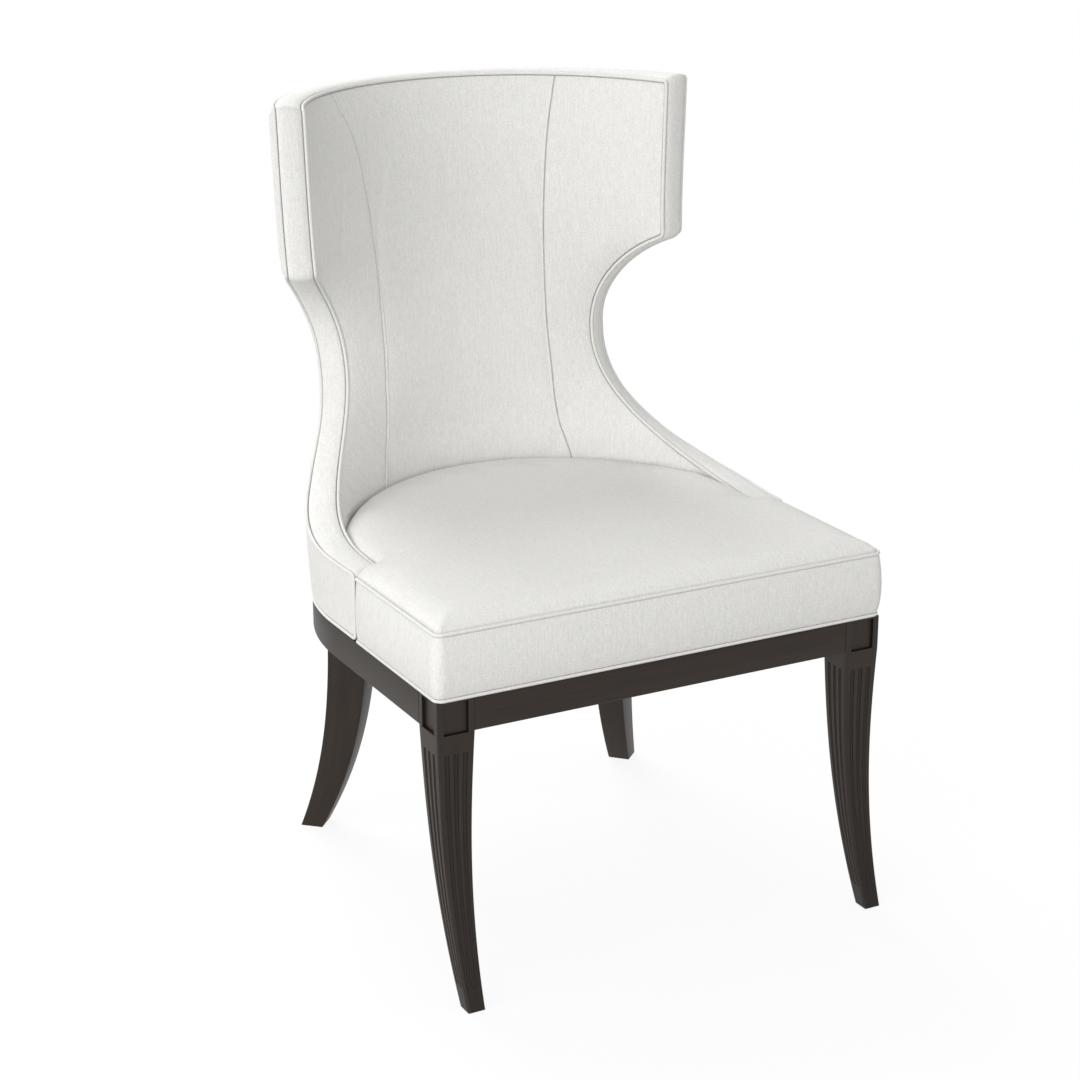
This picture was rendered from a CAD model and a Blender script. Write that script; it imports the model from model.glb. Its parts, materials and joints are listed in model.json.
"""Klismos dining chair: upholstered hourglass back, boxed cushion seat, dark show wood."""
import json
import math

import bpy
import numpy as np
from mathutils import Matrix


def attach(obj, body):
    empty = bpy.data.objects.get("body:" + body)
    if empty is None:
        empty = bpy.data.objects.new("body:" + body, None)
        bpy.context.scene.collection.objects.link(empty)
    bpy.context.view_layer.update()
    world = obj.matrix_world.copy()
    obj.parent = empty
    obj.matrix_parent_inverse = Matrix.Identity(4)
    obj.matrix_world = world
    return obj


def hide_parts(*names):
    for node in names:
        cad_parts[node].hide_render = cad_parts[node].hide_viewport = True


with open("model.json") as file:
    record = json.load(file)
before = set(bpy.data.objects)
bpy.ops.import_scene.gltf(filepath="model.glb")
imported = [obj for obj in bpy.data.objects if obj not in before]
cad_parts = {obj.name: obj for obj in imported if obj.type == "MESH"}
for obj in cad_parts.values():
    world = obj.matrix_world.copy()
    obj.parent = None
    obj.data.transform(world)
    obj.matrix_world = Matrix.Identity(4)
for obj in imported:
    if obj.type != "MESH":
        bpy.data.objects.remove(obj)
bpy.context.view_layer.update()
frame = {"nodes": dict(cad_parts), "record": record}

# Sizes of the chair in millimetres, as the solids have them
HALF_WIDTH = 316.0
SEAT_FRONT = 302.6
ARM_LENGTH = 70.5
RAIL_TOP, RAIL_HEIGHT = 390.5, 43.2
RAIL_FOOT = RAIL_TOP - RAIL_HEIGHT
SEAT_WELT_Z = 475.3
ARM_TOP_Z = 478.6
BACK_TOP_Z = 1014.6
PLAN_Y = -23.3
QUARTER_ARC = HALF_WIDTH * math.pi / 2
ARM_FRONT = QUARTER_ARC + ARM_LENGTH
GAP = 0.3

# Outline of the back, as length around the plan and height, and the handles of its curves as
# shares of the way between their ends
WAIST = (245.0, 664.0)
WING_LOW = (387.0, 805.0)
WING_HIGH = (409.0, BACK_TOP_Z)
WING_LOW_ROUND, WING_TOP_ROUND = 7.0, 5.0
ARM_HANDLE, BELOW_WAIST = np.array([0.612, 0.003]), np.array([0.975, 0.53])
ABOVE_WAIST, WING_HANDLE = np.array([0, 0.43]), np.array([0.385, 0.785])

# Form of the back: its lean, its side swell, and how its outer edge tilts, turns and drops
LEAN_BACK, LEAN_FOOT_Z = 80.0, 523.0
SIDE_SWELL = 4.5
TILT_RISE, TILT_DROP = 6.5, 2.5
BAND_DEPTH, BAND_TURN = 37.0, 11.0
OUTER_TURN = ((478.6, 500, 540, 610, 664, 740, 800), (0, 4, 8, 8, 5.5, 5.5, 8.5))
OUTER_DROP = ((478.6, 486, 500, 530, 590, 664), (0, 4, 8.5, 13, 12, 0))
COVER_BULGE = ((570, 640, 790, 830), (0, 3.2, 3.2, 5.6))
LEAN = ((0, 0), (0.1, 0.08), (0.3, 0.3), (0.63, 0.74), (1, 1))
SWELL_HEIGHT = ((0, 0), (0.33, 1), (0.75, 0), (1, 0))
SWELL_REACH = ((0, 0.6), (0.35, 1), (0.8, 1), (1, 0))

# Padding of the back and its two sewn seams
PADDING_CROWN = 38.0
PADDING = ((0, 0.78), (0.1, 0.58), (0.21, 0.78), (0.34, 1), (0.66, 1), (0.81, 0.88),
           (0.905, 0.6), (0.95, 0.28), (1, 0))
WING_START, WING_BLUR = (690, 745), 30
WING_RIM = 30.0
EDGE_SWELL, EDGE_SWELL_WIDTH, EDGE_SWELL_START = 2.8, 16.0, (505, 580)
SEAM_ANGLE = math.radians(30)
SEAM_LINE = ((0, 1.16), (0.1, 1.03), (0.25, 1), (0.4, 1), (0.8, 1.14), (1, 1.24))

# Seat
SEAT_LINE_Z = 494.0
SEAT_ROLL, SEAT_ROLL_WIDTH = 15.5, 24.0
JOINT_ROLL, JOINT_ROLL_WIDTH = 13.0, 13.0
SEAT_CROWN, CROWN_LENGTH = 6.0, 260
SEAT_CORNER, NOTCH_CORNER = 10.0, 7.0
NOTCH_Y = PLAN_Y - ARM_LENGTH - 0.9 - NOTCH_CORNER
BARREL_ARC, BARREL_END = 250, 4

# Cords, and the tuck of the cloth beside them
CORD = 2.2
CORD_SIDES = 14
CORD_INSET = 0.6
SEWN = CORD + 0.3
ROLL, CREASE = 1.6, 0.5
CLOTH_DEPTH, SHELL_INSET, SHELL_FACES = 7.0, 7.0, (3.1, 14.1)
EDGE_STEPS = np.array([0, 0.2, 0.5, 0.9, 1.4, 2.0, 2.8, 4.0, 6.0, 9.0])


# Curves and surfaces

def blend(a, b, s):
    return a + (b - a) * s


def along(table, place):
    """Smooth value of a table: cubic pieces whose end slopes are those between neighbours."""
    x, y = np.array(table, float).T
    ends = np.diff(y)[[0, -1]] / np.diff(x)[[0, -1]]
    slope = np.concatenate([ends[:1], (y[2:] - y[:-2]) / (x[2:] - x[:-2]), ends[1:]])
    s = np.clip(place, x[0], x[-1])
    i = np.clip(np.searchsorted(x, s, side="right") - 1, 0, len(x) - 2)
    span = x[i + 1] - x[i]
    t = (s - x[i]) / span
    return ((1 - t) ** 2 * (y[i] * (1 + 2 * t) + t * span * slope[i])
            + t ** 2 * (y[i + 1] * (3 - 2 * t) - (1 - t) * span * slope[i + 1]))


def step(low, high, value):
    """0 below low, 1 above high, and the smooth cubic between them."""
    t = np.clip((value - low) / (high - low), 0, 1)
    return t * t * (3 - 2 * t)


def bell(value, width):
    """1 at zero, falling with the square of value over width as a bell curve."""
    return np.exp(-(value / width) ** 2)


def unit(v):
    return v / np.maximum(np.linalg.norm(v, axis=-1, keepdims=True), 1e-12)


def circle(turn):
    """Points of the unit circle, which are their own outward normals."""
    return np.stack([np.cos(turn), np.sin(turn)], -1)


def pairs(a, b):
    return np.stack(np.broadcast_arrays(a, b), -1)


def run_along(path):
    """Length along a path at each of its points."""
    return np.concatenate([[0], np.cumsum(np.linalg.norm(np.diff(path, axis=0), axis=1))])


def rolled(distance, radius):
    """Share of full height beside a sewn edge: a quarter round from the edge to the radius."""
    t = np.clip(1 - distance / radius, 0, 1)
    return np.sqrt(np.maximum(1 - t * t, 0))


def tucked(distance):
    """How far cloth is drawn in beside a cord: a quarter round, and a crease at the cord."""
    return (ROLL + CREASE * (distance < 0.1)) * (1 - rolled(distance, ROLL))


def near_line(points, line):
    """Least distance in the plan from points to the straight pieces of a line."""
    a, b = line[:-1], line[1:]
    ahead = b - a
    length = np.maximum((ahead ** 2).sum(-1), 1e-9)
    flat = points.reshape(-1, 2)
    t = np.clip(((flat[:, None] - a) * ahead).sum(-1) / length, 0, 1)
    gap = flat[:, None] - a - t[..., None] * ahead
    return np.sqrt((gap ** 2).sum(-1).min(1)).reshape(points.shape[:-1])


def lean_at(z):
    """How far the round of the back has moved back at a height."""
    return LEAN_BACK * along(LEAN, (z - LEAN_FOOT_Z) / (BACK_TOP_Z - LEAN_FOOT_Z))


def swell_at(arc, z):
    """Swell of the low sides of the back beyond their plan."""
    return (SIDE_SWELL * along(SWELL_HEIGHT, (z - RAIL_TOP) / (WAIST[1] - RAIL_TOP))
            * along(SWELL_REACH, np.abs(arc) / ARM_FRONT))


def back_point(arc, depth, z):
    """Point of the back: straight side or quarter circle of radius half width minus depth, moved
    back by the lean of its height."""
    arc, depth, z = np.broadcast_arrays(*(np.asarray(v, float) for v in (arc, depth, z)))
    radius = HALF_WIDTH - depth + swell_at(arc, z) * (1 - np.clip(depth / BAND_DEPTH, 0, 1))
    angle = np.clip(arc / HALF_WIDTH, -math.pi / 2, math.pi / 2)
    past = np.maximum(np.abs(arc) - QUARTER_ARC, 0)
    y = radius * np.cos(angle) - past + lean_at(z) + PLAN_Y
    return np.stack([radius * np.sin(angle), y, z], -1)


def layer_point(arc, share, depth, z):
    """Back point with the edge turned forward at the sides and tilted up behind at the top."""
    deep = np.clip(depth / BAND_DEPTH, 0, 1)
    high = np.clip((z - WING_LOW[1]) / (BACK_TOP_Z - WING_LOW[1]), 0, 1)
    tilt = (TILT_RISE * share ** 2 - TILT_DROP) * high ** 2 - np.interp(z, *OUTER_DROP) * share ** 2
    turn = blend(np.interp(z, *OUTER_TURN), BAND_TURN, deep)
    return back_point(arc - share * turn, depth, z + tilt * (1 - deep))


def bezier(points, count):
    """Places and directions along a Bezier curve: neighbouring points are blended until one is
    left, and the last two give the direction."""
    share = np.linspace(0, 1, count)[:, None, None]
    p = np.repeat([points], count, 0)
    while p.shape[1] > 1:
        ahead = np.diff(p, axis=1)
        p = p[:, :-1] + ahead * share
    return p[:, 0], unit(ahead[:, 0])


def half_outline():
    """Half outline of the back from the front of the arm to the top: length around, height, and
    the normal that points out of the padding."""
    arm, waist, low, high = np.array([(ARM_FRONT, ARM_TOP_Z), WAIST, WING_LOW, WING_HIGH])
    up = unit(high - low)
    below_waist = [waist[0] * BELOW_WAIST[0], blend(arm[1], waist[1], BELOW_WAIST[1])]
    wing = blend(waist, low, WING_HANDLE)
    bend_start, bend_end = low + unit(wing - low) * WING_LOW_ROUND, low + up * WING_LOW_ROUND
    top_start = high - up * WING_TOP_ROUND
    parts = [
        bezier([arm, blend(arm, waist, ARM_HANDLE), below_waist, waist], 110),
        bezier([waist, blend(waist, low, ABOVE_WAIST), wing, bend_start], 60),
        bezier([bend_start, low, bend_end], 9),
        bezier([bend_end, top_start], 36),
        bezier([top_start, high, high - [WING_TOP_ROUND, 0]], 9),
    ]
    place, ahead = (np.concatenate([part[k][1 if n else 0:] for n, part in enumerate(parts)])
                    for k in (0, 1))
    return place[:, 0], place[:, 1], np.stack([ahead[:, 1], -ahead[:, 0]], -1)


ARC, RISE, NORMAL = half_outline()


def height_share(z):
    return np.clip((z - SEAT_LINE_Z) / (BACK_TOP_Z - SEAT_LINE_Z), 0, 1)


def edge_arc(z):
    """Half length of the outline at a height above the seat."""
    return np.interp(np.maximum(z, SEAT_LINE_Z), RISE, ARC)


def seam_share(z, half):
    """Share of the way from the middle to the edge where the sewn seam runs."""
    return SEAM_ANGLE * along(SEAM_LINE, height_share(z)) * HALF_WIDTH / (half - BAND_TURN)


def soft_edge(z):
    """Half length of the outline, averaged over the height around the wings with a bell curve, so
    that the padding has no step where a wing begins."""
    level = np.linspace(SEAT_LINE_Z, BACK_TOP_Z, 261)
    weight = np.exp(-((level[:, None] - level[None, :]) / WING_BLUR) ** 2 / 2)
    blurred = weight @ edge_arc(level) / weight.sum(1)
    return blend(edge_arc(z), np.interp(z, level, blurred), step(*WING_START, z))


def inside_depth(share, half, z):
    """Depth of the inside face: the edge band plus a crown that falls to it as a cube."""
    reach = np.clip(np.abs(share) * half / soft_edge(z), 0, 1)
    return BAND_DEPTH + PADDING_CROWN * along(PADDING, height_share(z)) * (1 - reach ** 3)


# Meshes

def placed(name, data):
    """Object of the scene that shows a mesh, a lamp or a camera."""
    made = bpy.data.objects.new(name, data)
    bpy.context.collection.objects.link(made)
    return made


def piece(name, points, faces, corners, look, deep, sharp=None):
    """Closed mesh object: points in millimetres, faces as rows of four corners, of which a
    triangle has -1 as its last, a flat place for every corner, and for every point how deep it
    lies in a fold. The faces are turned to look outward where the signed volume, the sum over
    both halves of each quad, is negative."""
    a, b, c, d = points[np.where(faces >= 0, faces, faces[:, 2:3])].swapaxes(0, 1)
    if (a * (np.cross(b, c) + np.cross(c, d))).sum() < 0:
        full = faces[:, 3:] >= 0
        faces = np.where(full, faces[:, ::-1], faces[:, [1, 0, 2, 3]])
        corners = np.where(full[..., None], corners[:, ::-1], corners[:, [1, 0, 2, 3]])
    mesh = bpy.data.meshes.new(name)
    mesh.from_pydata(points * 0.001, [], [f[f >= 0].tolist() for f in faces])
    layer = mesh.uv_layers.new(name="cloth")
    flat = corners[faces >= 0] * 0.001
    layer.data.foreach_set("uv", flat.astype(np.float32).ravel())
    depth = mesh.attributes.new("fold", "FLOAT", "POINT")
    depth.data.foreach_set("value", np.clip(deep, 0, 1).astype(np.float32))
    mesh.polygons.foreach_set("use_smooth", np.ones(len(faces), bool))
    if sharp is not None:
        mesh.set_sharp_from_angle(angle=sharp)
    mesh.materials.append(look)
    mesh.update()
    made = placed(name, mesh)
    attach(made, "root")
    return made


def grid_faces(rows, cols, ring=False):
    """Corner numbers of the quads of a grid, and the row and column of each corner."""
    last = cols if ring else cols - 1
    i, j = np.meshgrid(np.arange(rows - 1), np.arange(last), indexing="ij")
    ci = np.stack([i, i, i + 1, i + 1], -1).reshape(-1, 4)
    cj = np.stack([j, j + 1, j + 1, j], -1).reshape(-1, 4)
    return ci * cols + cj % cols, ci, cj


def bar_of(name, rings, flat, look, fold=0.0, sharp=None):
    """Closed body through rings: rings is rows x corners x 3 and flat rows x (corners + 1) x 2.
    Each end is closed to its middle."""
    rows, cols = rings.shape[:2]
    points = np.concatenate([rings.reshape(-1, 3), rings[0].mean(0)[None], rings[-1].mean(0)[None]])
    deep = np.zeros(rows * cols + 2)
    deep[:-2] = np.broadcast_to(fold, (rows, cols)).ravel()
    faces, ci, cj = grid_faces(rows, cols, ring=True)
    k = np.arange(cols)
    n = rows * cols
    none = np.full(cols, -1)
    start = np.stack([(k + 1) % cols, k, np.full(cols, n), none], -1)
    end = np.stack([n - cols + k, n - cols + (k + 1) % cols, np.full(cols, n + 1), none], -1)
    caps = [np.stack([np.roll(f, -1, 0), f, np.broadcast_to(f.mean(0), f.shape), f * 0], 1)
            for f in (flat[0, :-1], flat[-1, :-1])]
    faces = np.concatenate([faces, start, end])
    uv = np.concatenate([flat[ci, cj], *caps])
    return piece(name, points, faces, uv, look, deep, sharp)


def cloth_body(name, outer, inner, flat, look, fold=0.0):
    """Closed thin body between a seen grid of points and the hidden grid behind it: rings around
    both, and quads across the first and the last row."""
    rows, cols = outer.shape[:2]
    points = np.concatenate([outer, inner[:, ::-1]], 1).reshape(-1, 3)
    uv = np.concatenate([flat, flat[:, ::-1], flat[:, :1]], 1)
    deep = np.broadcast_to(fold, (rows, cols))
    deep = np.concatenate([deep, deep[:, ::-1]], 1).ravel()
    count = 2 * cols
    faces, ci, cj = grid_faces(rows, count, ring=True)
    corners = uv[ci, cj]
    k = np.arange(cols - 1)
    for row in (0, rows - 1):
        base = row * count
        end = np.stack([base + k, base + count - 1 - k, base + count - 2 - k, base + k + 1], -1)
        end = end if row == 0 else end[:, ::-1]
        faces = np.concatenate([faces, end])
        corners = np.concatenate([corners, uv[row][end - base]])
    return piece(name, points, faces, corners, look, deep)


CLOTH_STEPS, CLOTH_PRESSURE, CLOTH_STIFFNESS = 20, 4.0, 40


def filled_out(grid, towards, cap):
    """Cloth held at its sewn edge and pressed out by the padding behind it for twenty steps. Each
    point moves by cap times the hyperbolic tangent of its move divided by cap, in millimetres."""
    rows, cols = grid.shape[:2]
    faces = grid_faces(rows, cols)[0]
    a, b, c = (grid.reshape(-1, 3)[faces[len(faces) // 2, k]] for k in range(3))
    if np.dot(np.cross(b - a, c - b), towards) < 0:
        faces = faces[:, ::-1]
    mesh = bpy.data.meshes.new("trial_cloth")
    mesh.from_pydata(grid.reshape(-1, 3) * 0.001, [], faces.tolist())
    trial = placed("trial_cloth", mesh)
    number = np.arange(rows * cols).reshape(rows, cols)
    edge = np.setdiff1d(number, number[2:-2, 2:-2])
    trial.vertex_groups.new(name="sewn").add(edge.tolist(), 1.0, "REPLACE")
    cloth = trial.modifiers.new("cloth", "CLOTH")
    how = cloth.settings
    how.vertex_group_mass = "sewn"
    how.use_pressure = True
    how.uniform_pressure_force = CLOTH_PRESSURE
    how.effector_weights.gravity = 0
    how.tension_stiffness = how.compression_stiffness = CLOTH_STIFFNESS
    cloth.point_cache.frame_start = 1
    cloth.point_cache.frame_end = CLOTH_STEPS
    for moment in range(1, CLOTH_STEPS + 1):
        bpy.context.scene.frame_set(moment)
    shaped = trial.evaluated_get(bpy.context.evaluated_depsgraph_get()).data
    place = np.empty(rows * cols * 3, np.float32)
    shaped.vertices.foreach_get("co", place)
    bpy.context.scene.frame_set(1)
    bpy.data.objects.remove(trial)
    bpy.data.meshes.remove(mesh)
    move = place.reshape(rows, cols, 3) * 1000.0 - grid
    size = np.maximum(np.linalg.norm(move, axis=-1, keepdims=True), 1e-9)
    return grid + move / size * cap * np.tanh(size / cap)


# Finishes

class Wiring:
    """Short hand for adding and joining nodes in one tree."""

    def __init__(self, tree):
        self.tree = tree

    def fill(self, made, values):
        """Join or set the named inputs of a node."""
        for key, value in values.items():
            if isinstance(value, bpy.types.NodeSocket):
                self.tree.links.new(value, made.inputs[key])
            else:
                made.inputs[key].default_value = value

    def node(self, kind, values=(), **settings):
        made = self.tree.nodes.new("ShaderNode" + kind)
        for key, value in settings.items():
            setattr(made, key, value)
        self.fill(made, dict(values))
        return made

    def math(self, operation, *values):
        return self.node("Math", enumerate(values), operation=operation).outputs[0]

    def times(self, a, b):
        return self.math("MULTIPLY", a, b)

    def plus(self, a, b):
        return self.math("ADD", a, b)

    def noise(self, place, stretch=None, detail=2.0, rough=0.5):
        if stretch:
            scaled = self.node("VectorMath", {0: place, 1: stretch}, operation="MULTIPLY")
            place = scaled.outputs[0]
        values = {"Vector": place, "Scale": 1.0, "Detail": detail, "Roughness": rough}
        return self.node("TexNoise", values).outputs["Fac"]

    def mix(self, share, a, b):
        made = self.node("Mix", {"Factor": share, "A": a, "B": b}, data_type="RGBA")
        return made.outputs["Result"]

    def spread(self, value, low, high, to_low=0.0, to_high=1.0):
        values = {"Value": value, "From Min": low, "From Max": high,
                  "To Min": to_low, "To Max": to_high}
        return self.node("MapRange", values).outputs[0]

    def bump(self, height, distance, strength):
        values = {"Height": height, "Distance": distance, "Strength": strength}
        return self.node("Bump", values).outputs[0]

    def cloth_place(self):
        """Flat place on the cloth or along the wood, in metres."""
        return self.node("UVMap", uv_map="cloth").outputs["UV"]

    def solid_place(self):
        """Object coordinates of a solid of the model."""
        return self.node("TexCoord").outputs["Object"]

    def fold(self):
        return self.node("Attribute", attribute_name="fold").outputs["Fac"]

    def group(self, group, **values):
        return self.node("Group", values, node_tree=group).outputs


def new_group(name, inputs, outputs):
    """Empty node group with a Place input, named number inputs and named number outputs."""
    group = bpy.data.node_groups.new(name, "ShaderNodeTree")
    add = group.interface.new_socket
    add(name="Place", in_out="INPUT", socket_type="NodeSocketVector")
    for label, value in inputs.items():
        add(name=label, in_out="INPUT", socket_type="NodeSocketFloat").default_value = value
    for label in outputs:
        add(name=label, in_out="OUTPUT", socket_type="NodeSocketFloat")
    given, out = group.nodes.new("NodeGroupInput"), group.nodes.new("NodeGroupOutput")
    return group, Wiring(group), given.outputs, out


def weave_group():
    """Plain weave with slubs: warp and weft are sine ridges that swap places on a checkerboard,
    and long noise along the warp thickens some threads."""
    group, w, given, out = new_group("plain_weave", {"Thread": 0.0008, "Slub": 1.0},
                                     ("Height", "Tone", "Fleck"))
    place = given["Place"]
    split = w.node("SeparateXYZ", {0: place})
    turns = w.math("DIVIDE", math.pi, given["Thread"])
    across, up = (w.math("SINE", w.times(split.outputs[axis], turns)) for axis in "XY")
    side = w.spread(w.times(across, up), -0.35, 0.35)
    threads = w.plus(w.times(w.math("ABSOLUTE", across), side),
                     w.times(w.math("ABSOLUTE", up), w.math("SUBTRACT", 1.0, side)))
    long = w.noise(place, (560.0, 105.0, 1.0), detail=3.0, rough=0.62)
    broad = w.noise(place, (260.0, 30.0, 1.0))
    slub = w.spread(w.plus(w.times(long, 0.7), w.times(broad, 0.3)), 0.36, 0.64)
    tone = w.times(w.math("SUBTRACT", slub, 0.5), given["Slub"])
    w.fill(out, {"Height": w.plus(w.times(threads, 0.55), w.times(tone, 0.9)),
                 "Tone": w.plus(tone, 0.5),
                 "Fleck": w.noise(place, (900.0, 420.0, 1.0), detail=1.0)})
    return group


def grain_group():
    """Wood grain along the second direction: stretched noise for the bands, and short pores."""
    group, w, given, out = new_group("wood_grain", {"Across": 110.0, "Along": 5.0},
                                     ("Bands", "Pores"))
    split = w.node("SeparateXYZ", {0: given["Place"]})
    wander = w.noise(given["Place"], (9.0, 2.2, 9.0))
    side = w.plus(w.times(split.outputs["X"], given["Across"]), w.times(wander, 2.4))
    front = w.times(split.outputs["Z"], given["Across"])
    run = w.times(split.outputs["Y"], given["Along"])
    place = w.node("CombineXYZ", {0: side, 1: run, 2: front}).outputs[0]
    w.fill(out, {"Bands": w.noise(place, detail=5.0, rough=0.6),
                 "Pores": w.spread(w.noise(place, (9.0, 5.0, 9.0)), 0.58, 0.72)})
    return group


def new_look(name):
    """Material with one Principled shader, ready for wiring."""
    look = bpy.data.materials.new(name)
    look.use_nodes = True
    tree = look.node_tree
    return look, Wiring(tree), tree.nodes["Principled BSDF"]


WEAVE = weave_group()
GRAIN = grain_group()
THREAD = 0.00085
PALE, DEEP, FOLDED = (0.868, 0.861, 0.833, 1), (0.672, 0.666, 0.645, 1), (0.42, 0.415, 0.40, 1)
STAIN_DEEP, STAIN_PALE = (0.0105, 0.0052, 0.0024, 1), (0.025, 0.0145, 0.0076, 1)
PORE, RUBBED = (0.006, 0.003, 0.0015, 1), (0.045, 0.030, 0.021, 1)
GLAZE = (0.0035, 0.0025, 0.002, 1)


def linen(name, pale=PALE, slub=1.0, bias=0.0):
    """Off-white linen: two close tones by slub and fleck, a soft sheen, and the weave as bump."""
    look, w, skin = new_look(name)
    place = w.cloth_place()
    if bias:
        turn = w.node("VectorRotate", {"Vector": place, "Angle": bias}, rotation_type="Z_AXIS")
        place = turn.outputs[0]
    weave = w.group(WEAVE, Place=place, Thread=THREAD, Slub=slub)
    fleck = w.spread(weave["Fleck"], 0.38, 0.62)
    tone = w.plus(w.times(weave["Tone"], 0.55), w.times(fleck, 0.45))
    cloud = w.spread(w.noise(place, (11.0, 11.0, 1.0), detail=3.0), 0.3, 0.7, 0.0, 0.10)
    cloudy = w.mix(cloud, w.mix(tone, DEEP, pale), DEEP)
    w.fill(skin, {"Base Color": w.mix(w.times(w.fold(), 0.35), cloudy, FOLDED),
                  "Roughness": w.spread(weave["Tone"], 0.0, 1.0, 0.95, 0.84),
                  "Sheen Weight": 0.12, "Sheen Roughness": 0.45, "Specular IOR Level": 0.25,
                  "Normal": w.bump(weave["Height"], 0.00022, 0.75)})
    return look


def stained_wood(name):
    """Espresso stain under semi-matte lacquer: near-black brown with grain, darker pores, rubbed
    edges a little paler, and a soft lacquer coat."""
    look, w, skin = new_look(name)
    grain = w.group(GRAIN, Place=w.cloth_place(), Across=130.0, Along=6.0)
    colour = w.mix(w.spread(grain["Bands"], 0.3, 0.7), STAIN_DEEP, STAIN_PALE)
    colour = w.mix(w.times(grain["Pores"], 0.6), colour, PORE)
    edge = w.node("NewGeometry").outputs["Pointiness"]
    colour = w.mix(w.spread(edge, 0.53, 0.66, 0.0, 0.3), colour, RUBBED)
    height = w.math("SUBTRACT", w.times(grain["Bands"], 0.4), w.times(grain["Pores"], 0.6))
    w.fill(skin, {"Base Color": w.mix(w.times(w.fold(), 0.85), colour, GLAZE),
                  "Roughness": w.spread(grain["Bands"], 0.2, 0.8, 0.42, 0.54),
                  "Specular IOR Level": 0.3, "Coat Weight": 0.1, "Coat Roughness": 0.38,
                  "Normal": w.bump(height, 0.00025, 0.5)})
    return look


def raw_wood(name, pale, deep, across=70.0):
    """Unfinished timber for hidden parts: two tones by grain and a dry surface."""
    look, w, skin = new_look(name)
    grain = w.group(GRAIN, Place=w.solid_place(), Across=across, Along=4.0)
    colour = w.mix(w.spread(grain["Bands"], 0.3, 0.7), deep, pale)
    w.fill(skin, {"Base Color": w.mix(w.times(grain["Pores"], 0.35), colour, deep),
                  "Roughness": w.spread(grain["Bands"], 0.2, 0.8, 0.62, 0.78),
                  "Normal": w.bump(grain["Bands"], 0.0002, 0.5)})
    return look


def zinc_steel(name):
    """Zinc-plated steel: cloudy grey metal with a faint spangle."""
    look, w, skin = new_look(name)
    cloud = w.noise(w.solid_place(), (260.0, 260.0, 260.0), detail=4.0)
    w.fill(skin, {"Base Color": w.mix(cloud, (0.36, 0.37, 0.38, 1), (0.62, 0.63, 0.62, 1)),
                  "Roughness": w.spread(cloud, 0.3, 0.7, 0.28, 0.46), "Metallic": 1.0})
    return look


def moulded_nylon(name):
    """Black moulded nylon with a fine texture and scuffed patches."""
    look, w, skin = new_look(name)
    place = w.solid_place()
    scuff = w.spread(w.noise(place, (140.0, 140.0, 140.0), detail=4.0), 0.45, 0.7)
    fine = w.noise(place, (2400.0, 2400.0, 2400.0))
    w.fill(skin, {"Base Color": w.mix(scuff, (0.012, 0.012, 0.012, 1), (0.045, 0.043, 0.04, 1)),
                  "Roughness": w.spread(scuff, 0.0, 1.0, 0.42, 0.7),
                  "Normal": w.bump(fine, 0.0001, 0.4)})
    return look


def strap_weave(name, pale, deep, thread):
    """Coarse woven strap or thin backing cloth, on Object coordinates."""
    look, w, skin = new_look(name)
    weave = w.group(WEAVE, Place=w.solid_place(), Thread=thread, Slub=0.6)
    w.fill(skin, {"Base Color": w.mix(weave["Tone"], deep, pale), "Roughness": 0.92,
                  "Normal": w.bump(weave["Height"], 0.0003, 0.8)})
    return look


CLOTH = linen("linen_panels")
CLOTH_SEAT = linen("linen_seat", slub=0.75)
CLOTH_CORD = linen("linen_bias_cord", (0.85, 0.843, 0.815, 1), slub=0.5, bias=math.radians(45))
WOOD = stained_wood("espresso_wood")
BEECH = raw_wood("raw_beech", (0.60, 0.42, 0.24, 1), (0.44, 0.28, 0.14, 1))
PLY = raw_wood("bent_ply", (0.62, 0.46, 0.27, 1), (0.46, 0.31, 0.16, 1), across=45.0)
STEEL = zinc_steel("zinc_steel")
NYLON = moulded_nylon("black_nylon")
STRAP = strap_weave("seat_strap", (0.075, 0.065, 0.055, 1), (0.03, 0.026, 0.022, 1), 0.0022)
DUST = strap_weave("dust_cloth", (0.022, 0.022, 0.022, 1), (0.009, 0.009, 0.009, 1), 0.0011)


# Upholstery of the back

COVER_FOOT, COVER_DEPTH, COVER_BACK = RAIL_TOP + 3.6, -0.6, 1.9
SEAM_LIP, SEAM_DIP = 1.8, 1.9
CORD_SHADE, SEAM_SHADE = 0.7, 0.95
JOINT_SHADE, JOINT_SHADE_Z, JOINT_SHADE_WIDTH = 0.34, 488, 34
BACK_PRESS, SEAT_PRESS = 2.2, 2.0


def seam_relief(offset):
    """Sewn seam seen across it, in millimetres: a raised lip on the middle panel's side of a
    narrow dip."""
    return SEAM_LIP * bell(offset + 1.7, 1.2) - SEAM_DIP * bell(offset - 0.3, 0.8)


def seam_shade(offset):
    """Shade in a seam: full within half a millimetre of its thread, gone within two."""
    return 1.4 * bell(offset, SEAM_SHADE)


def cord(name, path, across):
    """Round cord along a path: each ring turns from the given cross direction, made square to the
    path, to their product."""
    ahead = unit(np.gradient(path, axis=0))
    first = unit(across - ahead * np.sum(across * ahead, -1, keepdims=True))
    second = np.cross(ahead, first)
    turn = np.linspace(0, 2 * math.pi, CORD_SIDES, endpoint=False)[:, None]
    rings = path[:, None] + CORD * (np.cos(turn) * first[:, None] + np.sin(turn) * second[:, None])
    around = np.linspace(0, 2 * math.pi * CORD, CORD_SIDES + 1)
    return bar_of(name, rings, pairs(around, run_along(path)[:, None]), CLOTH_CORD)


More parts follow.
